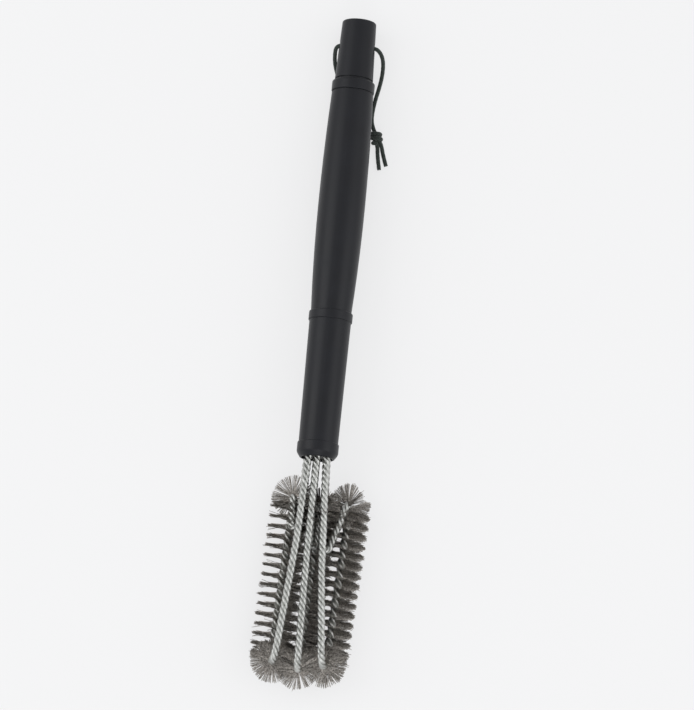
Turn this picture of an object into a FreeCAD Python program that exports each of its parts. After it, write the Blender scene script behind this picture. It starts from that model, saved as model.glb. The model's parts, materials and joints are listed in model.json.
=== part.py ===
import FreeCAD, Part
import math
import os

# Grill cleaning brush: a hollow plastic handle with a plugged tail, three brush units bent from rope
# that is twisted from three steel wires, and a hanging loop of thin cord.
#
# The brush is drawn in the handle's own frame first: Y runs along the handle's axis, from the head to
# the butt, with 0 at the handle's mouth, X is to the right and Z is up. At the end everything is
# tilted and moved to the way it lies: bristles on the ground, origin below the middle of the brush.
# All sizes are in millimetres.

Vector = FreeCAD.Vector

# Handle, measured along its axis
handle_length = 305.8
cap_length = 42.6
butt_radius = 11.6
cap_mouth_radius = 13.1
butt_rounding = 1.2
rear_ring_length = 7.4
rear_ring_radius = 14.65
front_ring_to_mouth = 94.8
front_ring_length = 6.2
front_ring_radius = 14.9
ring_rounding = 1.2
grip_rear_radius = 14.25
belly_radius = 16.0
belly_to_mouth = 175.3
grip_front_radius = 13.75
nose_rear_radius = 14.2
nose_front_radius = 13.4
collar_length = 10.5
collar_radius = 14.1
collar_rise = 3.6
collar_rounding = 4.5
lip_radius = 11.6
lip_rounding = 1.2
step_rounding = 0.6
ring_groove_width = 1.0
ring_groove_depth = 0.6
bore_radius = 10.7
cavity_relief = 1.2
cavity_front = 110.0
cavity_rear = 236.0
cavity_taper = 6.0
seam_width = 1.6
seam_depth = 0.8

# Tail cap's plug and cross hole
plug_clearance = 0.05
spigot_length = 14.0
cap_cavity_radius = 7.5
cap_cavity_to_butt = 27.0
hole_to_butt = 17.3
hole_radius = 2.0
hole_flare = 1.2

# Insert that holds the rope ends
insert_recess = 1.5
insert_length = 60.0
rope_bore_clearance = 0.1
stem_grip = 57.0
return_grip = 50.0

# Rope of twisted wires
wires_in_rope = 3
wire_radius = 1.23
wire_gap = 0.05
level_share = 0.15
drop = 24.0
end_bend_radius = 11.4
mouth_bend_radius = 60.0
bow_bend_radius = 150.0
turn_bend_radius = 3.7
hook_bend_radius = 3.1

straight_enough = 0.001

# Bristles
bristle_radius = 14.8
bristle_gap = 0.3
near_riser_height = 4.0
rope_clearance = 0.3

# Hanging loop
cord_radius = 1.4
cord_lift_clearance = 0.35
knot_length = 12.4
knot_width = 8.6
knot_height = 6.8

# Six ropes share the handle's bore: three stems side by side and their three return legs below.
# The shares say how much of the room that touching ropes would leave in the bore lies between them.
# Each brush unit from above: x to the right of the handle's axis, and out from the mouth.
# row is the stem's place in the bore, with the shares by which the stem and the return leg stand off
# it, bow and far are on the stem, core_far and core_near are the ends of the bristled core, riser is
# where the rope has turned up, hook_out and hook_in are its hook under the stem, and the return leg
# goes back to the mouth. riser_rise and hook_level say how high those lie.
units = {
    "left": {
        "row": -1, "stem_share": -0.2, "return_share": -0.628,
        "bow": (-8.2, 58.2), "far": (-15.1, 138.4),
        "core_far": (-18.2, 138.4), "core_near": (-13.4, 25.8), "riser": (-13.6, 25.3),
        "hook_out": (-12.4, 47.8), "hook_in": (-8.0, 49.8),
        "riser_rise": 8.0, "hook_level": -7.2,
    },
    "middle": {
        "row": 0, "stem_share": 0.0, "return_share": -0.055,
        "bow": (-0.4, 60.2), "far": (0.5, 142.0),
        "core_far": (1.2, 142.0), "core_near": (5.0, 29.2), "riser": (4.8, 28.7),
        "hook_out": (4.8, 58.4), "hook_in": (0.5, 60.0),
        "riser_rise": 7.6, "hook_level": -8.2,
    },
    "right": {
        "row": 1, "stem_share": 0.518, "return_share": 0.792,
        "bow": (10.5, 76.2), "far": (16.1, 138.6),
        "core_far": (18.9, 138.6), "core_near": (25.0, 27.9), "riser": (23.3, 27.4),
        "hook_out": (13.8, 60.4), "hook_in": (9.4, 62.0),
        "riser_rise": 8.2, "hook_level": -7.2,
    },
}

# The cord's route from the cross hole's centre: x, y and the height above the ground.
hole_exit = 9.4
right_route = [
    (12.6, 0.0, None), (15.6, -1.8, 15.9), (18.0, -5.4, 14.1), (19.0, -10.2, 11.6),
    (18.9, -16.8, 7.9), (17.6, -24.4, 4.2), (15.6, -33.0, 2.0), (14.4, -42.0, 1.5),
    (14.6, -48.5, 1.6), (16.4, -53.5, 2.2), (18.2, -57.0, 3.2),
]
left_route = [
    (-11.5, 0.0, None), (-13.4, -0.8, 16.0), (-14.5, -2.2, 14.9), (-14.8, -5.2, 12.3),
    (-14.5, -10.2, 8.0), (-12.6, -16.3, 4.1), (-9.4, -23.0, 2.0), (-4.2, -30.5, 1.5),
    (1.8, -38.0, 1.5), (6.8, -45.0, 1.5), (10.6, -51.4, 1.6), (14.2, -56.4, 3.0),
]
knot_centre = (19.0, -59.5, 3.5)
knot_turn = 14.0
tail_routes = [
    [(20.2, -64.6, 2.9), (20.8, -72.0, 1.6), (22.8, -81.0, 1.5)],
    [(22.8, -64.2, 2.9), (24.6, -71.0, 1.6), (27.2, -78.0, 1.5)],
]

# What follows from the sizes above
wire_offset = (wire_radius + wire_gap / 2) / math.sin(math.pi / wires_in_rope)
rope_radius = wire_offset + wire_radius
plug_radius = bore_radius - plug_clearance
cavity_radius = bore_radius + cavity_relief
bore_room = plug_radius - (1 + math.sqrt(5)) * rope_radius
stem_level = rope_radius + level_share * bore_room
return_level = -stem_level
shell_length = handle_length - cap_length
rear_ring_front = shell_length - rear_ring_length
front_ring_rear = front_ring_to_mouth + front_ring_length
far_reach = max(unit["far"][1] for unit in units.values())
head_depth = drop - stem_level + bristle_radius
ring_lift = 2 * cord_radius + cord_lift_clearance
slope = (head_depth - rear_ring_radius - ring_lift) / (far_reach + shell_length)
tilt = math.atan(slope)


def line(start, end):
    return Part.LineSegment(start, end).toShape()


def arc(start, middle, end):
    return Part.Arc(start, middle, end).toShape()


def rounded_path(corners):
    """Straight runs and tangent arcs through corners, each (point, bend radius)."""
    pieces = []
    start = corners[0][0]
    for before, here, after in zip(corners, corners[1:], corners[2:]):
        corner, radius = here
        toward = (corner - before[0]).normalize()
        away = (after[0] - corner).normalize()
        turn = toward.getAngle(away)
        if turn < straight_enough:
            continue
        trim = radius * math.tan(turn / 2)
        enter = corner - toward * trim
        leave = corner + away * trim
        inward = (away - toward).normalize()
        centre = corner + inward * (radius / math.cos(turn / 2))
        axis = toward.cross(away).normalize()
        pieces.append(("run", start, enter))
        pieces.append(("bend", enter, leave, centre, axis, turn))
        start = leave
    pieces.append(("run", start, corners[-1][0]))
    return pieces


def turned(vector, axis, angle):
    return FreeCAD.Rotation(axis, math.degrees(angle)).multVec(vector)


def offset_wire(pieces, side, lift):
    """The path moved sideways and up, in a frame that is carried along it without twisting."""
    along = (pieces[0][2] - pieces[0][1]).normalize()
    up = Vector(0, 0, 1)
    across = along.cross(up).normalize()
    up = across.cross(along)
    shift = across * side + up * lift
    edges = []
    for piece in pieces:
        if piece[0] == "run":
            edges.append(line(piece[1] + shift, piece[2] + shift))
            continue
        _, enter, leave, centre, axis, angle = piece
        arm = enter + shift - centre
        edges.append(arc(
            centre + arm, centre + turned(arm, axis, angle / 2), centre + turned(arm, axis, angle)))
        shift = turned(shift, axis, angle)
    return Part.Wire(edges)


def tube(path, radius):
    first = path.Edges[0]
    start = first.valueAt(first.FirstParameter)
    along = first.tangentAt(first.FirstParameter)
    ring = Part.Wire(Part.Circle(start, along, radius).toShape())
    return path.makePipeShell([ring], True, False)


def rounded_outline(corners):
    """Outline edges in the plane of the handle's axis: corners are (y, radius, rounding)."""
    edges = []
    start = Vector(0, corners[0][0], corners[0][1])
    for before, here, after in zip(corners, corners[1:], corners[2:]):
        corner = Vector(0, here[0], here[1])
        if here[2] == 0:
            edges.append(line(start, corner))
            start = corner
            continue
        toward = (corner - Vector(0, before[0], before[1])).normalize()
        away = (Vector(0, after[0], after[1]) - corner).normalize()
        turn = toward.getAngle(away)
        trim = here[2] * math.tan(turn / 2)
        inward = (away - toward).normalize()
        middle = corner + inward * (here[2] / math.cos(turn / 2) - here[2])
        edges.append(line(start, corner - toward * trim))
        edges.append(arc(corner - toward * trim, middle, corner + away * trim))
        start = corner + away * trim
    edges.append(line(start, Vector(0, corners[-1][0], corners[-1][1])))
    return edges


def spun(edges):
    face = Part.Face(Part.Wire(edges))
    return face.revolve(Vector(0, 0, 0), Vector(0, 1, 0), 360)


def bellied(start, crown):
    """The middle point of a gentle arc that is level with the axis at its crown."""
    return Vector(0, (start.y + crown.y) / 2, crown.z - (crown.z - start.z) / 4)


def grip_shell():
    grip_front = Vector(0, front_ring_rear, grip_front_radius)
    crown = Vector(0, belly_to_mouth, belly_radius)
    groove_front = rear_ring_front - ring_groove_width
    groove_radius = grip_rear_radius - ring_groove_depth
    grip_rear = Vector(0, groove_front, grip_rear_radius)
    nose = rounded_outline([
        (0, bore_radius, 0),
        (0, lip_radius, lip_rounding),
        (collar_rise, collar_radius, collar_rounding),
        (collar_length, collar_radius, step_rounding),
        (collar_length, nose_front_radius, 0),
        (front_ring_to_mouth, nose_rear_radius, 0),
        (front_ring_to_mouth, front_ring_radius, step_rounding),
        (front_ring_rear, front_ring_radius, step_rounding),
        (front_ring_rear, grip_front_radius, 0),
    ])
    grip = [
        arc(grip_front, bellied(grip_front, crown), crown),
        arc(crown, bellied(grip_rear, crown), grip_rear),
    ]
    rear = rounded_outline([
        (groove_front, grip_rear_radius, 0),
        (groove_front, groove_radius, 0),
        (rear_ring_front, groove_radius, 0),
        (rear_ring_front, rear_ring_radius, step_rounding),
        (shell_length, rear_ring_radius, ring_rounding),
        (shell_length, bore_radius, 0),
        (cavity_rear + cavity_taper, bore_radius, 0),
        (cavity_rear, cavity_radius, 0),
        (cavity_front, cavity_radius, 0),
        (cavity_front - cavity_taper, bore_radius, 0),
        (0, bore_radius, 0),
    ])
    return spun(nose + grip + rear)


def cross_hole():
    """The cord's hole, with mouths that flare where they meet the cap's side."""
    reach = cap_mouth_radius
    flare_start = butt_radius - hole_flare
    flare_end = butt_radius + (cap_mouth_radius - butt_radius) * hole_to_butt / cap_length
    half = [
        line(Vector(0, 0, 0), Vector(0, hole_radius, 0)),
        line(Vector(0, hole_radius, 0), Vector(flare_start, hole_radius, 0)),
        arc(
            Vector(flare_start, hole_radius, 0),
            Vector((flare_start + flare_end) / 2, hole_radius + hole_flare * 0.3, 0),
            Vector(flare_end, hole_radius + hole_flare, 0)),
        line(Vector(flare_end, hole_radius + hole_flare, 0), Vector(reach, hole_radius + hole_flare, 0)),
        line(Vector(reach, hole_radius + hole_flare, 0), Vector(reach, 0, 0)),
        line(Vector(reach, 0, 0), Vector(0, 0, 0)),
    ]
    right = Part.Face(Part.Wire(half)).revolve(Vector(0, 0, 0), Vector(1, 0, 0), 360)
    left = right.mirror(Vector(0, 0, 0), Vector(1, 0, 0))
    both = right.fuse(left)
    both.translate(Vector(0, handle_length - hole_to_butt, 0))
    return both


def tail_cap():
    spigot_end = shell_length - spigot_length
    cavity_end = handle_length - cap_cavity_to_butt
    body = spun(rounded_outline([
        (spigot_end, cap_cavity_radius, 0),
        (spigot_end, plug_radius, 0),
        (shell_length, plug_radius, 0),
        (shell_length, cap_mouth_radius - seam_depth, 0),
        (shell_length + seam_width, cap_mouth_radius - seam_depth, 0),
        (shell_length + seam_width, cap_mouth_radius, 0),
        (handle_length, butt_radius, butt_rounding),
        (handle_length, 0, 0),
        (cavity_end, 0, 0),
        (cavity_end, cap_cavity_radius, 0),
        (spigot_end, cap_cavity_radius, 0),
    ]))
    return body.cut(cross_hole())


def bore_place(unit, share):
    """How far to the right of the handle's axis a rope lies in the bore."""
    return unit["row"] * 2 * rope_radius + unit[share] * bore_room


def core_insert():
    block = Part.makeCylinder(
        plug_radius, insert_length, Vector(0, insert_recess, 0), Vector(0, 1, 0))
    for unit in units.values():
        for share, level in (("stem_share", stem_level), ("return_share", return_level)):
            x = bore_place(unit, share)
            bore = Part.makeCylinder(
                rope_radius + rope_bore_clearance, insert_length,
                Vector(x, insert_recess, level), Vector(0, 1, 0))
            block = block.cut(bore)
    return block


def core_level(out):
    """Height of the bristled core, which lies level when the brush rests on the ground."""
    return stem_level - drop + (far_reach - out) * slope


def rope_path(unit):
    def at(place, level):
        return Vector(place[0], -place[1], level)

    stem_x = bore_place(unit, "stem_share")
    return_x = bore_place(unit, "return_share")
    near_level = core_level(unit["core_near"][1])
    return rounded_path([
        (Vector(stem_x, stem_grip, stem_level), 0),
        (Vector(stem_x, 0, stem_level), mouth_bend_radius),
        (at(unit["bow"], stem_level), bow_bend_radius),
        (at(unit["far"], stem_level), end_bend_radius),
        (at(unit["core_far"], core_level(unit["core_far"][1])), end_bend_radius),
        (at(unit["core_near"], near_level), turn_bend_radius),
        (at(unit["riser"], near_level + unit["riser_rise"]), turn_bend_radius),
        (at(unit["hook_out"], unit["hook_level"]), hook_bend_radius),
        (at(unit["hook_in"], return_level), hook_bend_radius),
        (Vector(return_x, 0, return_level), mouth_bend_radius),
        (Vector(return_x, return_grip, return_level), 0),
    ])


def bristled_bend(bend, direction):
    """The bristles round one end of the core, where it turns up: bend is the rope's radius there."""
    disc = Part.Face(Part.Wire(Part.Circle(Vector(0, 0, 0), Vector(0, 1, 0), bristle_radius).toShape()))
    wide = 4 * bristle_radius
    keep = Part.makeBox(wide, wide, wide, Vector(-wide / 2, -wide / 2, bend - wide))
    half = disc.common(keep).Faces[0]
    return half.revolve(Vector(0, 0, bend), Vector(1, 0, 0), 90 * direction)


def bristled_riser(bend):
    """The bristles on the short upright run after the core's near bend, on its outer side."""
    post = Part.makeCylinder(bristle_radius, near_riser_height, Vector(0, 0, bend))
    wide = 4 * bristle_radius
    return post.cut(Part.makeBox(wide, wide, wide, Vector(-wide / 2, 0, -wide / 2)))


def bristle_envelope(unit):
    near = Vector(unit["core_near"][0], -unit["core_near"][1], core_level(unit["core_near"][1]))
    far = Vector(unit["core_far"][0], -unit["core_far"][1], core_level(unit["core_far"][1]))
    length = (far - near).Length
    far_bend = drop / 2
    far_cap = bristled_bend(far_bend, 1)
    far_cap.translate(Vector(0, length - far_bend, 0))
    near_cap = bristled_bend(turn_bend_radius, -1)
    near_cap = near_cap.fuse(bristled_riser(turn_bend_radius))
    near_cap.translate(Vector(0, turn_bend_radius, 0))
    trunk = Part.makeCylinder(
        bristle_radius, length - far_bend - turn_bend_radius,
        Vector(0, turn_bend_radius, 0), Vector(0, 1, 0))
    shape = trunk.fuse([far_cap, near_cap]).removeSplitter()
    forward = (far - near).normalize()
    upright = Vector(0, -math.sin(tilt), math.cos(tilt))
    across = forward.cross(upright).normalize()
    upright = across.cross(forward)
    return shape.transformed(FreeCAD.Matrix(
        across.x, forward.x, upright.x, near.x,
        across.y, forward.y, upright.y, near.y,
        across.z, forward.z, upright.z, near.z,
        0, 0, 0, 1))


def beside(unit, other, side):
    """A block on one side of the plane midway between two cores, less half the gap between them."""
    half_gap = bristle_gap / 2 * side
    near_x = (unit["core_near"][0] + other["core_near"][0]) / 2 - half_gap
    far_x = (unit["core_far"][0] + other["core_far"][0]) / 2 - half_gap
    near_y = -(unit["core_near"][1] + other["core_near"][1]) / 2
    far_y = -(unit["core_far"][1] + other["core_far"][1]) / 2
    lean = (near_x - far_x) / (near_y - far_y)
    front = near_y + 2 * bristle_radius
    back = far_y - 2 * bristle_radius
    front_x = near_x + lean * (front - near_y)
    back_x = far_x + lean * (back - far_y)
    wide = side * 6 * bristle_radius
    floor = -head_depth - bristle_radius
    corners = [
        Vector(front_x, front, floor), Vector(back_x, back, floor),
        Vector(back_x + wide, back, floor), Vector(front_x + wide, front, floor),
        Vector(front_x, front, floor),
    ]
    return Part.Face(Part.makePolygon(corners)).extrude(Vector(0, 0, 2 * (head_depth + bristle_radius)))


def bristle_sets(rope_paths):
    channels = [tube(offset_wire(path, 0, 0), rope_radius + rope_clearance) for path in rope_paths.values()]
    sets = {}
    names = list(units)
    for index, name in enumerate(names):
        shape = bristle_envelope(units[name])
        if index > 0:
            shape = shape.cut(beside(units[name], units[names[index - 1]], -1))
        if index < len(names) - 1:
            shape = shape.cut(beside(units[name], units[names[index + 1]], 1))
        for channel in channels:
            shape = shape.cut(channel)
        sets[name + "_bristles"] = max(shape.Solids, key=lambda solid: solid.Volume)
    return sets


def cord_corners(points):
    """Bend radii as large as each pair of runs allows."""
    corners = [(points[0], 0)]
    radii = []
    for before, here, after in zip(points, points[1:], points[2:]):
        turn = (here - before).getAngle(after - here)
        shorter = min((here - before).Length, (after - here).Length)
        radii.append(0.45 * shorter / math.tan(turn / 2))
        corners.append((here, radii[-1]))
    corners.append((points[-1], 0))
    return corners, radii


def cord_tube(name, points):
    corners, radii = cord_corners(points)
    path = offset_wire(rounded_path(corners), 0, 0)
    solid = tube(path, cord_radius)
    share = solid.Volume / (math.pi * cord_radius ** 2 * path.Length)
    print(name, "length %.1f, volume share %.3f, radii" % (path.Length, share),
          " ".join("%.1f" % radius for radius in radii))
    return solid


def knot_body(centre):
    """A plump knot: a ball stretched along the cord and flattened, cut off where the strands meet it."""
    ball = Part.makeSphere(1.0)
    turn = FreeCAD.Rotation(Vector(0, 0, 1), knot_turn)
    stretch = FreeCAD.Matrix()
    stretch.scale(knot_width / 2, knot_length / 2, knot_height / 2)
    shape = ball.transformGeometry(stretch)
    shape.Placement = FreeCAD.Placement(centre, turn)
    return shape


def hanging_loop(hole_centre):
    def place(point):
        height = hole_centre.z if point[2] is None else point[2]
        return Vector(hole_centre.x + point[0], hole_centre.y + point[1], height)

    right_mouth = hole_centre + Vector(hole_exit, 0, 0)
    left_mouth = hole_centre - Vector(hole_exit, 0, 0)
    knot = knot_body(place(knot_centre))
    pieces = {
        "cord_in_hole": Part.makeCylinder(cord_radius, 2 * hole_exit, left_mouth, Vector(1, 0, 0)),
        "cord_right": cord_tube("cord_right", [right_mouth] + [place(p) for p in right_route]),
        "cord_left": cord_tube("cord_left", [left_mouth] + [place(p) for p in left_route]),
    }
    tails = [cord_tube("tail", [place(p) for p in route]) for route in tail_routes]
    pieces["loop_knot"] = knot
    for name in ("cord_right", "cord_left"):
        pieces[name] = pieces[name].cut(knot)
    pieces["cord_tails"] = Part.makeCompound([tail.cut(knot).Solids[0] for tail in tails])
    return pieces


def as_it_lies(shapes):
    """The move from the handle's frame to the ground: tilt, then centre over the origin."""
    lean = FreeCAD.Placement(Vector(0, 0, 0), FreeCAD.Rotation(Vector(1, 0, 0), -math.degrees(tilt)))
    box = FreeCAD.BoundBox()
    for shape in shapes.values():
        box.add(shape.transformed(lean.toMatrix()).optimalBoundingBox(False, False))
    shift = FreeCAD.Placement(Vector(-box.Center.x, -box.Center.y, -box.ZMin), FreeCAD.Rotation())
    return shift.multiply(lean)


def main():
    os.makedirs("parts", exist_ok=True)
    rope_paths = {name: rope_path(unit) for name, unit in units.items()}
    shapes = {
        "grip_shell": grip_shell(),
        "tail_cap": tail_cap(),
        "core_insert": core_insert(),
    }
    for name, path in rope_paths.items():
        for number in range(wires_in_rope):
            angle = 2 * math.pi * number / wires_in_rope
            wire = offset_wire(path, wire_offset * math.sin(angle), wire_offset * math.cos(angle))
            shapes["%s_wire_%d" % (name, number + 1)] = tube(wire, wire_radius)
    shapes.update(bristle_sets(rope_paths))

    lying = as_it_lies(shapes)
    placed = {name: shape.transformed(lying.toMatrix()) for name, shape in shapes.items()}
    hole_centre = lying.multVec(Vector(0, handle_length - hole_to_butt, 0))
    placed.update(hanging_loop(hole_centre))

    butt = lying.multVec(Vector(0, handle_length, 0))
    axis = lying.Rotation.multVec(Vector(0, 1, 0))
    print("tilt %.3f degrees" % math.degrees(tilt))
    print("hole centre", [round(v, 4) for v in hole_centre])
    print("butt centre", [round(v, 4) for v in butt], "axis", [round(v, 6) for v in axis])
    for name, shape in placed.items():
        solids = len(shape.Solids)
        box = shape.BoundBox
        print("%-16s solids %d valid %s volume %.0f z %.2f to %.2f" % (
            name, solids, shape.isValid(), shape.Volume, box.ZMin, box.ZMax))
        shape.exportStep("parts/%s.step" % name)


main()
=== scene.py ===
import json
import math
import random

import bmesh
import bpy
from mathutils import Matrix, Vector


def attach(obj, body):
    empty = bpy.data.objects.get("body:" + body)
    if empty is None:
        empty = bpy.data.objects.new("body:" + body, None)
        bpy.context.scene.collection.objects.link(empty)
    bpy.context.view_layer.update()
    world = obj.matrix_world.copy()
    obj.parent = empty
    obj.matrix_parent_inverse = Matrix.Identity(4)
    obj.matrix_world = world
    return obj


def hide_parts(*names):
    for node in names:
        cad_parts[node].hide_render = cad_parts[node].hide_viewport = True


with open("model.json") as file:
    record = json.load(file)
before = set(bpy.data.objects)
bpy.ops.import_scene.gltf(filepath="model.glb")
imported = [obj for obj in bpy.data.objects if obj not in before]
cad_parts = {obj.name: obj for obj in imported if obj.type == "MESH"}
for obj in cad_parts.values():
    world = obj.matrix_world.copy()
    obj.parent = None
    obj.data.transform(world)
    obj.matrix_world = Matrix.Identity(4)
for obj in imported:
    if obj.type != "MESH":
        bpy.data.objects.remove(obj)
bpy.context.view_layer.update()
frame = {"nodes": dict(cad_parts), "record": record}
print("frame loaded")

mm = 0.001
record = frame["record"]
holeCentre = Vector(record["behaviour"]["joints"][0]["pos_m"])
buttMount = next(mount for mount in record["mounts"] if mount["name"] == "butt_face")
handleAxis = Vector(buttMount["axis"]).normalized()
handleUp = Vector((1, 0, 0)).cross(handleAxis)
handleLength = 305.8
mouthCentre = Vector(buttMount["pos_m"]) - handleAxis * handleLength * mm


# millimetres to the right of the handle's axis, out from its mouth and above the axis
def fromMouth(x, out, level):
    return mouthCentre + (Vector((x, 0, 0)) - handleAxis * out + handleUp * level) * mm


def addObject(name, data):
    obj = bpy.data.objects.new(name, data)
    bpy.context.scene.collection.objects.link(obj)
    return obj


# a curve object from one or more lists of points
def addCurve(name, lines, radius=0.0, sides=8, kind="POLY"):
    data = bpy.data.curves.new(name, "CURVE")
    data.dimensions = "3D"
    data.bevel_depth = radius
    data.bevel_resolution = (sides - 4) // 2
    data.use_fill_caps = radius > 0
    data.resolution_u = 12
    for line in lines:
        spline = data.splines.new(kind)
        spline.points.add(len(line) - 1)
        for point, place in zip(spline.points, line):
            point.co = (place[0], place[1], place[2], 1)
        if kind == "NURBS":
            spline.order_u = 3
            spline.use_endpoint_u = True
    return addObject(name, data)


# the curve's own mesh, in place of the curve
def curveToMesh(curve):
    name = curve.name
    depsgraph = bpy.context.evaluated_depsgraph_get()
    data = bpy.data.meshes.new_from_object(curve.evaluated_get(depsgraph))
    bpy.data.objects.remove(curve)
    for polygon in data.polygons:
        polygon.use_smooth = True
    data.name = name
    return addObject(name, data)


# points read along the smooth curve through a route's points
def smoothLine(points):
    curve = addCurve("route", [points], kind="NURBS")
    depsgraph = bpy.context.evaluated_depsgraph_get()
    data = bpy.data.meshes.new_from_object(curve.evaluated_get(depsgraph))
    line = [vertex.co.copy() for vertex in data.vertices]
    bpy.data.objects.remove(curve)
    bpy.data.meshes.remove(data)
    return line


# the same line with evenly spaced points
def evenLine(points, step):
    reach = [0.0]
    for first, second in zip(points, points[1:]):
        reach.append(reach[-1] + (second - first).length)
    count = max(2, round(reach[-1] / step))
    line = []
    index = 0
    for number in range(count + 1):
        target = reach[-1] * number / count
        while index < len(points) - 2 and reach[index + 1] < target:
            index += 1
        share = (target - reach[index]) / max(reach[index + 1] - reach[index], 1e-9)
        line.append(points[index].lerp(points[index + 1], min(max(share, 0.0), 1.0)))
    return line


# side and up directions carried along a line without twisting
def carriedFrames(line, side):
    frames = []
    before = None
    reach = 0.0
    for index, point in enumerate(line):
        along = (line[min(index + 1, len(line) - 1)] - line[max(index - 1, 0)]).normalized()
        if before is not None:
            side = side.copy()
            side.rotate(before.rotation_difference(along))
            reach += (point - line[index - 1]).length
        side = (side - along * side.dot(along)).normalized()
        frames.append((point, along, side, along.cross(side), reach))
        before = along
    return frames


def newMaterial(name):
    material = bpy.data.materials.new(name)
    material.use_nodes = True
    material.node_tree.nodes.clear()
    shader = addNode(material, "ShaderNodeBsdfPrincipled")
    output = addNode(material, "ShaderNodeOutputMaterial")
    material.node_tree.links.new(shader.outputs["BSDF"], output.inputs["Surface"])
    return material, shader


def addNode(owner, kind, values=None, **settings):
    tree = owner.node_tree if isinstance(owner, bpy.types.Material) else owner
    node = tree.nodes.new(kind)
    for setting, value in settings.items():
        setattr(node, setting, value)
    for socket, value in (values or {}).items():
        if isinstance(value, bpy.types.NodeSocket):
            tree.links.new(value, node.inputs[socket])
        else:
            node.inputs[socket].default_value = value
    return node


def connect(material, output, target):
    material.node_tree.links.new(output, target)


# the colour sockets of a Mix node, which has sockets of one name for each kind of value
def mixColour(material, dark, light, factor):
    mix = addNode(material, "ShaderNodeMix", data_type="RGBA")
    for socket in mix.inputs:
        if socket.type == "RGBA":
            socket.default_value = (*(dark if socket.name == "A" else light), 1)
    connect(material, factor, mix.inputs["Factor"])
    return next(socket for socket in mix.outputs if socket.type == "RGBA")


def newGroup(name, inputs, outputs):
    group = bpy.data.node_groups.new(name, "ShaderNodeTree")
    for socket, kind, value in inputs:
        made = group.interface.new_socket(socket, in_out="INPUT", socket_type=kind)
        if value is not None:
            made.default_value = value
    for socket, kind in outputs:
        group.interface.new_socket(socket, in_out="OUTPUT", socket_type=kind)
    entry = group.nodes.new("NodeGroupInput")
    leave = group.nodes.new("NodeGroupOutput")
    return group, entry, leave


# fine moulded or drawn grain: a height for a bump and a soft mottle
def buildGrainGroup():
    group, entry, leave = newGroup("surfaceGrain", [
        ("Vector", "NodeSocketVector", None),
        ("Grain Scale", "NodeSocketFloat", 900.0),
        ("Mottle Scale", "NodeSocketFloat", 60.0),
    ], [("Height", "NodeSocketFloat"), ("Mottle", "NodeSocketFloat")])
    fine = addNode(group, "ShaderNodeTexNoise", {
        "Vector": entry.outputs["Vector"], "Scale": entry.outputs["Grain Scale"],
        "Detail": 3.0, "Roughness": 0.6})
    broad = addNode(group, "ShaderNodeTexNoise", {
        "Vector": entry.outputs["Vector"], "Scale": entry.outputs["Mottle Scale"],
        "Detail": 4.0, "Roughness": 0.65})
    soft = addNode(group, "ShaderNodeMapRange", {
        "Value": broad.outputs["Fac"], "From Min": 0.3, "From Max": 0.7})
    group.links.new(fine.outputs["Fac"], leave.inputs["Height"])
    group.links.new(soft.outputs["Result"], leave.inputs["Mottle"])
    return group


grainGroup = buildGrainGroup()


def placeGroup(material, group, place, values):
    node = material.node_tree.nodes.new("ShaderNodeGroup")
    node.node_tree = group
    connect(material, place.outputs["Object"], node.inputs["Vector"])
    for socket, value in values.items():
        node.inputs[socket].default_value = value
    return node


# one way of finishing a surface: mottled colour, uneven roughness and a fine bump
def grainedMaterial(look):
    material, shader = newMaterial(look["name"])
    place = addNode(material, "ShaderNodeTexCoord")
    grain = placeGroup(material, grainGroup, place, {
        "Grain Scale": look["grainScale"], "Mottle Scale": look["mottleScale"]})
    colour = mixColour(material, look["dark"], look["light"], grain.outputs["Mottle"])
    rough = addNode(material, "ShaderNodeMapRange", {
        "Value": grain.outputs["Mottle"],
        "To Min": look["smoothest"], "To Max": look["roughest"]})
    connect(material, rough.outputs["Result"], shader.inputs["Roughness"])
    bump = addNode(material, "ShaderNodeBump", {
        "Height": grain.outputs["Height"],
        "Strength": look["bumpStrength"], "Distance": look["bumpDepth"]})
    connect(material, bump.outputs["Normal"], shader.inputs["Normal"])
    shader.inputs["Metallic"].default_value = look["metallic"]
    connect(material, colour, shader.inputs["Base Color"])
    return material, shader


handlePlastic, shader = grainedMaterial({
    "name": "blackHandlePlastic", "dark": (0.0026, 0.0030, 0.0050), "light": (0.0044, 0.0051, 0.0080),
    "grainScale": 1400.0, "mottleScale": 55.0, "smoothest": 0.36, "roughest": 0.44,
    "bumpStrength": 0.2, "bumpDepth": 0.00005, "metallic": 0.0,
})
shader.inputs["Specular IOR Level"].default_value = 0.31

insertPlastic, shader = grainedMaterial({
    "name": "insertPlastic", "dark": (0.010, 0.010, 0.010), "light": (0.018, 0.018, 0.018),
    "grainScale": 700.0, "mottleScale": 90.0, "smoothest": 0.5, "roughest": 0.65,
    "bumpStrength": 0.3, "bumpDepth": 0.0001, "metallic": 0.0,
})

ropeSteel, shader = grainedMaterial({
    "name": "drawnRopeSteel", "dark": (0.34, 0.344, 0.326), "light": (0.62, 0.625, 0.60),
    "grainScale": 1800.0, "mottleScale": 240.0, "smoothest": 0.26, "roughest": 0.42,
    "bumpStrength": 0.3, "bumpDepth": 0.00005, "metallic": 1.0,
})

bristleSteel, shader = grainedMaterial({
    "name": "bristleSteel", "dark": (0.055, 0.050, 0.045), "light": (0.66, 0.62, 0.57),
    "grainScale": 900.0, "mottleScale": 900.0, "smoothest": 0.30, "roughest": 0.48,
    "bumpStrength": 0.1, "bumpDepth": 0.00003, "metallic": 1.0,
})

cordNylon, shader = grainedMaterial({
    "name": "darkGreenCord", "dark": (0.006, 0.011, 0.008), "light": (0.018, 0.030, 0.022),
    "grainScale": 3500.0, "mottleScale": 500.0, "smoothest": 0.7, "roughest": 0.9,
    "bumpStrength": 0.5, "bumpDepth": 0.00008, "metallic": 0.0,
})
shader.inputs["Sheen Weight"].default_value = 0.35
print("materials made")


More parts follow.
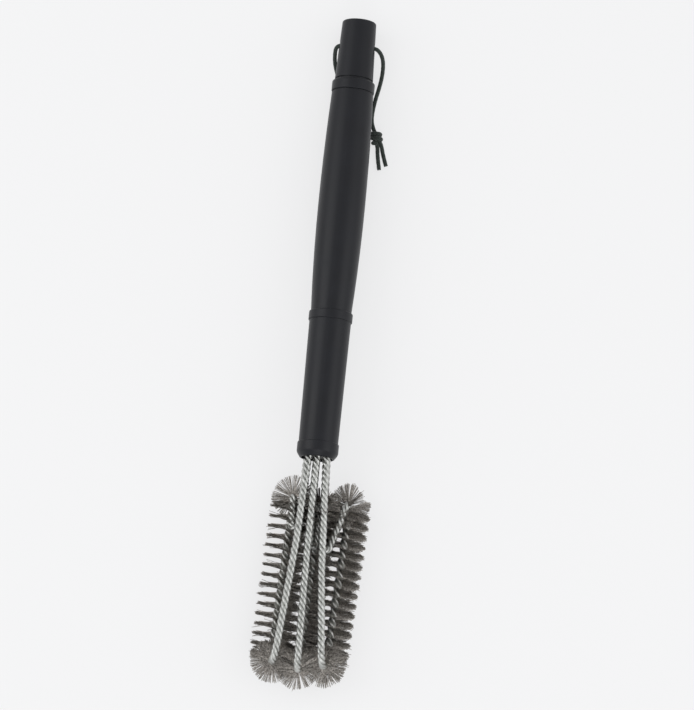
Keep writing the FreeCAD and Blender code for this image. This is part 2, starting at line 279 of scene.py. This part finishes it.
# a long lens high above the brush, tipped a little so that it looks in from the head's side;
# degrees, and millimetres from the cross hole's centre
camera = {
    "lens": 260.4, "tip": 9.5, "lean": 5.44, "distance": 3500.0, "aimAcross": 13.08, "aimAlong": -210.9,
}
cameraData = bpy.data.cameras.new("camera")
cameraData.lens = camera["lens"]
cameraData.sensor_width = 36
cameraData.clip_end = 100
cameraObject = addObject("camera", cameraData)
tip = math.radians(camera["tip"])
lean = math.radians(camera["lean"])
aim = Vector((holeCentre.x + camera["aimAcross"] * mm, holeCentre.y + camera["aimAlong"] * mm, 0))
sight = Vector((math.sin(tip) * math.sin(lean), -math.sin(tip) * math.cos(lean), math.cos(tip)))
cameraObject.location = aim + sight * camera["distance"] * mm
cameraObject.rotation_euler = (tip, 0, lean)
bpy.context.scene.camera = cameraObject


# the hanging loop, a braid over a core, with each side's route from the cross hole
loopCord = {
    "diameter": 2.8, "coreDiameter": 2.45, "exit": 9.4,
    "braidStrands": 8, "braidPitch": 8.2, "strandRadius": 0.31, "strandMiddle": 1.09,
    "strandWave": 0.10, "braidStep": 0.45, "firstSide": (0.1, 0.2, 1),
    "right": [
        (12.6, 0.0, None), (15.6, -1.8, 15.9), (18.0, -5.4, 14.1), (19.0, -10.2, 11.6),
        (18.9, -16.8, 7.9), (17.6, -24.4, 4.2), (15.6, -33.0, 2.0), (14.4, -42.0, 1.5),
        (14.6, -48.5, 1.6), (16.4, -53.5, 2.2), (18.2, -57.0, 3.2),
    ],
    "left": [
        (-11.5, 0.0, None), (-13.4, -0.8, 16.0), (-14.5, -2.2, 14.9), (-14.8, -5.2, 12.3),
        (-14.5, -10.2, 8.0), (-12.6, -16.3, 4.1), (-9.4, -23.0, 2.0), (-4.2, -30.5, 1.5),
        (1.8, -38.0, 1.5), (6.8, -45.0, 1.5), (10.6, -51.4, 1.6), (14.2, -56.4, 3.0),
    ],
    "rightLength": 66.9, "leftLength": 73.0,
}


# millimetres from the cross hole's centre, and the height above the ground
def fromHole(point):
    height = holeCentre.z if point[2] is None else point[2] * mm
    return Vector((holeCentre.x + point[0] * mm, holeCentre.y + point[1] * mm, height))


# round strands that cross over and under each other along each line
def braid(name, lines, look):
    strands = []
    count = look["braidStrands"]
    rate = 2 * math.pi / (look["braidPitch"] * mm)
    for line in lines:
        frames = carriedFrames(evenLine(line, look["braidStep"] * mm), Vector(look["firstSide"]))
        for direction in (1, -1):
            for number in range(count):
                strand = []
                for point, along, side, up, reach in frames:
                    angle = direction * rate * reach + 2 * math.pi * number / count
                    wave = direction * look["strandWave"] * math.cos(count * rate * reach)
                    radius = (look["strandMiddle"] + wave) * mm
                    strand.append(point + (side * math.sin(angle) + up * math.cos(angle)) * radius)
                strands.append(strand)
    sleeve = curveToMesh(addCurve(name, strands, look["strandRadius"] * mm, sides=6))
    sleeve.data.materials.append(cordNylon)
    return sleeve


def cordCore(name, points):
    core = addCurve(name, [points], loopCord["coreDiameter"] / 2 * mm, sides=12, kind="NURBS")
    core.data.materials.append(cordNylon)
    return core


exitRight = holeCentre + Vector((loopCord["exit"], 0, 0)) * mm
exitLeft = holeCentre - Vector((loopCord["exit"], 0, 0)) * mm
routeRight = [exitRight] + [fromHole(point) for point in loopCord["right"]]
routeLeft = [exitLeft] + [fromHole(point) for point in loopCord["left"]]
cordRight = cordCore("loopCordRight", routeRight)
cordLeft = cordCore("loopCordLeft", routeLeft)
sleeveRight = braid("loopSleeveRight", [smoothLine(routeRight)], loopCord)
sleeveLeft = braid("loopSleeveLeft", [smoothLine(routeLeft)], loopCord)
holeCord = braid("holeCord", [[exitLeft, holeCentre, exitRight]], loopCord)

# two wraps round the cord's two sides, which run on through the knot as its tails
knot = {
    "centre": (19.0, -59.5, 3.5), "turn": 14.0,
    "wrapWide": 3.0, "wrapHigh": 2.1, "wrapStart": -4.0, "wrapAdvance": 4.6, "wrapSpacing": 3.3,
    "turns": 1.3, "pointsPerTurn": 8, "firstTurn": -0.32, "tuckedEnds": 0.35, "slack": 1.06,
    "tails": [
        [(18.2, -57.0, 3.2), (20.4, -60.4, 3.5), (22.8, -64.2, 2.9), (24.6, -71.0, 1.6),
         (27.2, -78.0, 1.5)],
        [(14.2, -56.4, 3.0), (17.7, -60.2, 3.5), (20.2, -64.6, 2.9), (20.8, -72.0, 1.6),
         (22.8, -81.0, 1.5)],
    ],
}


def knotWrap(shift):
    turn = math.radians(knot["turn"])
    along = Vector((math.sin(turn), -math.cos(turn), 0))
    across = Vector((math.cos(turn), math.sin(turn), 0))
    centre = fromHole(knot["centre"])
    count = round(knot["turns"] * knot["pointsPerTurn"])
    points = []
    for number in range(count + 1):
        share = number / count
        angle = 2 * math.pi * (knot["turns"] * share + knot["firstTurn"])
        reach = knot["slack"] * (knot["tuckedEnds"] if number in (0, count) else 1.0)
        place = along * (knot["wrapStart"] + shift + knot["wrapAdvance"] * share)
        place += across * math.sin(angle) * knot["wrapWide"] * reach
        place += Vector((0, 0, 1)) * math.cos(angle) * knot["wrapHigh"] * reach
        points.append(centre + place * mm)
    return smoothLine(points)


knotLines = [smoothLine([fromHole(point) for point in tail]) for tail in knot["tails"]]
tailPiece = braid("cordTails", knotLines, loopCord)
knotPiece = braid("loopKnot", [knotWrap(0.0), knotWrap(knot["wrapSpacing"])], loopCord)
print("cords made")

for piece in (cordRight, cordLeft, sleeveRight, sleeveLeft, holeCord, knotPiece, tailPiece):
    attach(piece, "hang_loop")
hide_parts("cord_right")
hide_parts("cord_left")
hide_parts("cord_in_hole")
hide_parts("loop_knot")
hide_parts("cord_tails")


# three brush units, each one rope: the bare stem, the bristled core below it, the hook and the return
# leg; places are x to the right of the handle's axis and out from its mouth, in millimetres
rope = {
    "wires": 3, "wireRadius": 1.23, "wireGap": 0.05, "stemLevel": 2.98, "drop": 24.0, "farReach": 142.0,
    "stemPitch": 12.4, "corePitch": 13.4, "step": 1.0, "sides": 10,
    "mouthBend": 60.0, "bowBend": 150.0, "endBend": 11.4, "turnBend": 3.7, "hookBend": 3.1,
    "stemGrip": 57.0, "returnGrip": 50.0, "straightEnough": 0.002, "stepsPerRadian": 14,
}
units = {
    "left": {
        "stem": -5.75, "bow": (-8.2, 58.2), "far": (-15.1, 138.4),
        "coreFar": (-18.2, 138.4), "coreNear": (-13.4, 25.8), "riser": (-13.6, 25.3),
        "hookOut": (-12.4, 47.8), "hookIn": (-8.0, 49.8), "return": -6.60,
        "riserRise": 8.0, "hookLevel": -7.2,
    },
    "middle": {
        "stem": 0.00, "bow": (-0.4, 60.2), "far": (0.5, 142.0),
        "coreFar": (1.2, 142.0), "coreNear": (5.0, 29.2), "riser": (4.8, 28.7),
        "hookOut": (4.8, 58.4), "hookIn": (0.5, 60.0), "return": -0.11,
        "riserRise": 7.6, "hookLevel": -8.2,
    },
    "right": {
        "stem": 6.38, "bow": (10.5, 76.2), "far": (16.1, 138.6),
        "coreFar": (18.9, 138.6), "coreNear": (25.0, 27.9), "riser": (23.3, 27.4),
        "hookOut": (13.8, 60.4), "hookIn": (9.4, 62.0), "return": 6.93,
        "riserRise": 8.2, "hookLevel": -7.2,
    },
}
# bristles stand out to both sides of the core and turn with its twist
bristles = {
    "radius": 14.8, "wire": 0.31, "perMillimetre": 46, "root": 1.2,
    "fanSpread": 0.05, "tipDrift": 0.30, "lean": 0.022, "shortest": 0.93, "strays": 0.06,
    "riserReach": 7.7, "lift": 0.15, "strayFactor": 3.0, "bendAt": 0.55, "bendDrift": 0.2,
    "shortSpread": 2.5,
}


# the core lies level when the brush rests on the ground, so it leans against the handle's axis
def coreLevel(out):
    slope = -handleAxis.z / handleAxis.y
    return rope["stemLevel"] - rope["drop"] + (rope["farReach"] - out) * slope


# the rope's line with its bends: a chain of edges whose corners are bevelled round
def bentLine(corners):
    mesh = bmesh.new()
    chain = [mesh.verts.new(point) for point, bend in corners]
    for first, second in zip(chain, chain[1:]):
        mesh.edges.new((first, second))
    rounded = []
    for before, vertex, after, (point, bend) in zip(chain, chain[1:], chain[2:], corners[1:]):
        turn = (vertex.co - before.co).angle(after.co - vertex.co)
        rounded.append((vertex, bend * mm * math.tan(turn / 2), turn))
    for vertex, trim, turn in rounded:
        if turn > rope["straightEnough"]:
            bmesh.ops.bevel(mesh, geom=[vertex], offset=trim, offset_type="OFFSET",
                            affect="VERTICES", segments=max(3, round(turn * rope["stepsPerRadian"])),
                            profile=0.5, material=-1)
    start = min(mesh.verts, key=lambda vertex: (vertex.co - corners[0][0]).length)
    line = [start.co.copy()]
    edge = None
    while True:
        onward = [link for link in start.link_edges if link != edge]
        if not onward:
            break
        edge = onward[0]
        start = edge.other_vert(start)
        line.append(start.co.copy())
    mesh.free()
    return line


# from the insert out along the stem, back along the core and round the hook to the insert
def ropeLine(unit):
    near = coreLevel(unit["coreNear"][1])
    return bentLine([
        (fromMouth(unit["stem"], -rope["stemGrip"], rope["stemLevel"]), 0),
        (fromMouth(unit["stem"], 0, rope["stemLevel"]), rope["mouthBend"]),
        (fromMouth(*unit["bow"], rope["stemLevel"]), rope["bowBend"]),
        (fromMouth(*unit["far"], rope["stemLevel"]), rope["endBend"]),
        (fromMouth(*unit["coreFar"], coreLevel(unit["coreFar"][1])), rope["endBend"]),
        (fromMouth(*unit["coreNear"], near), rope["turnBend"]),
        (fromMouth(*unit["riser"], near + unit["riserRise"]), rope["turnBend"]),
        (fromMouth(*unit["hookOut"], unit["hookLevel"]), rope["hookBend"]),
        (fromMouth(*unit["hookIn"], -rope["stemLevel"]), rope["hookBend"]),
        (fromMouth(unit["return"], 0, -rope["stemLevel"]), rope["mouthBend"]),
        (fromMouth(unit["return"], -rope["returnGrip"], -rope["stemLevel"]), 0),
    ])


# the carried frames with the angle that the twist has reached
def twistedFrames(unit):
    frames = carriedFrames(evenLine(ropeLine(unit), rope["step"] * mm), Vector((1, 0, 0)))
    twisted = []
    angle = 0.0
    for index, (point, along, side, up, reach) in enumerate(frames):
        level = (point - mouthCentre).dot(handleUp) / mm
        pitch = rope["corePitch"] if level < -rope["drop"] / 2 + rope["stemLevel"] else rope["stemPitch"]
        if index:
            angle += 2 * math.pi * (reach - frames[index - 1][4]) / (pitch * mm)
        twisted.append((point, along, side, up, angle))
    return twisted


def ropeStrands(unitName, frames):
    offset = (rope["wireRadius"] + rope["wireGap"] / 2) / math.sin(math.pi / rope["wires"]) * mm
    for number in range(rope["wires"]):
        turn = 2 * math.pi * number / rope["wires"]
        strand = [point + (side * math.sin(angle + turn) + up * math.cos(angle + turn)) * offset
                  for point, along, side, up, angle in frames]
        name = "%sStrand%d" % (unitName, number + 1)
        piece = curveToMesh(addCurve(name, [strand], rope["wireRadius"] * mm, rope["sides"]))
        piece.data.materials.append(ropeSteel)
        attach(piece, "brush")
        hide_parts("%s_wire_%d" % (unitName, number + 1))


# the stretch of frames that holds bristles, between the two upright ends of the core
def bristledStretch(unit, frames):
    near = coreLevel(unit["coreNear"][1])
    levels = [(frame[0] - mouthCentre).dot(handleUp) / mm for frame in frames]
    first = next(index for index, level in enumerate(levels) if level < rope["stemLevel"] - rope["drop"] / 2)
    core = first + round(rope["drop"] / rope["step"])
    last = next(index for index in range(core, len(levels)) if levels[index] > near + bristles["riserReach"])
    return frames[first:last]


def bristleSet(unitName, unit, frames, seed):
    draw = random.Random(seed)
    stretch = bristledStretch(unit, frames)
    count = round(bristles["perMillimetre"] * len(stretch) * rope["step"])
    hairs = []
    for number in range(count):
        spot = draw.uniform(0, len(stretch) - 1.001)
        index = int(spot)
        share = spot - index
        here, there = stretch[index], stretch[index + 1]
        point, along, side, up = (here[part].lerp(there[part], share) for part in range(4))
        angle = here[4] + (there[4] - here[4]) * share + draw.choice((0.0, math.pi))
        stray = bristles["strayFactor"] if draw.random() < bristles["strays"] else 1.0
        angle += draw.gauss(0, bristles["fanSpread"] * stray)
        out = side * math.sin(angle) + up * math.cos(angle) + along * draw.gauss(0, bristles["lean"] * stray)
        out.normalize()
        shortfall = abs(draw.gauss(0, (1 - bristles["shortest"]) / bristles["shortSpread"]))
        length = bristles["radius"] * (1 - shortfall)
        drift = Vector((draw.gauss(0, 1), draw.gauss(0, 1), draw.gauss(0, 1))) * bristles["tipDrift"] * stray
        middle = point + (out * length * bristles["bendAt"] + drift * bristles["bendDrift"]) * mm
        tip = point + (out * length + drift) * mm
        tip.z = max(tip.z, bristles["lift"] * mm)
        hairs.append([point + out * bristles["root"] * mm, middle, tip])
    piece = curveToMesh(addCurve(unitName + "Bristles", hairs, bristles["wire"] / 2 * mm, sides=4))
    piece.data.materials.append(bristleSteel)
    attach(piece, "brush")
    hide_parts(unitName + "_bristles")
    print(unitName, "bristles", count, "triangles", sum(len(p.vertices) - 2 for p in piece.data.polygons))


for seed, (unitName, unit) in enumerate(units.items(), 11):
    frames = twistedFrames(unit)
    ropeStrands(unitName, frames)
    bristleSet(unitName, unit, frames, seed)
print("rope and bristles made")


# the handle keeps its CAD shape and gets its finishes
handleFinishes = {"grip_shell": handlePlastic, "tail_cap": handlePlastic, "core_insert": insertPlastic}
for nodeName, finish in handleFinishes.items():
    node = frame["nodes"][nodeName]
    node.data.materials.clear()
    node.data.materials.append(finish)


# a pale floor that glows a little, so that the shadow under the brush stays faint
studio = {
    "floorSide": 30.0, "floorColour": (0.18, 0.18, 0.181), "floorGlow": (0.69, 0.69, 0.693),
    "air": (0.97, 0.98, 1.0), "airLight": 0.84,
    "panels": [
        ("softLeft", (-1.1, 0.1, 0.9), 1.1, 5.0),
        ("softRight", (1.2, -0.1, 0.9), 1.1, 4.0),
        ("softHead", (0.1, -1.2, 1.3), 1.0, 4.0),
    ],
}
floorMesh = bmesh.new()
bmesh.ops.create_grid(floorMesh, x_segments=8, y_segments=8, size=studio["floorSide"] / 2)
floorData = bpy.data.meshes.new("floor")
floorMesh.to_mesh(floorData)
floorMesh.free()
floor = addObject("floor", floorData)
floorFinish, shader = newMaterial("paleFloor")
shader.inputs["Base Color"].default_value = (*studio["floorColour"], 1)
shader.inputs["Roughness"].default_value = 0.9
shader.inputs["Emission Color"].default_value = (*studio["floorGlow"], 1)
shader.inputs["Emission Strength"].default_value = 1.0
floorData.materials.append(floorFinish)

world = bpy.data.worlds.new("studioAir")
bpy.context.scene.world = world
world.use_nodes = True
background = world.node_tree.nodes["Background"]
background.inputs["Color"].default_value = (*studio["air"], 1)
background.inputs["Strength"].default_value = studio["airLight"]

for panelName, place, side, power in studio["panels"]:
    panelData = bpy.data.lights.new(panelName, "AREA")
    panelData.size = side
    panelData.energy = power
    panel = addObject(panelName, panelData)
    panel.location = place
    panel.rotation_euler = (-Vector(place)).to_track_quat("-Z", "Y").to_euler()
bpy.context.scene.view_settings.view_transform = "Standard"
print("studio made")

bpy.context.view_layer.update()
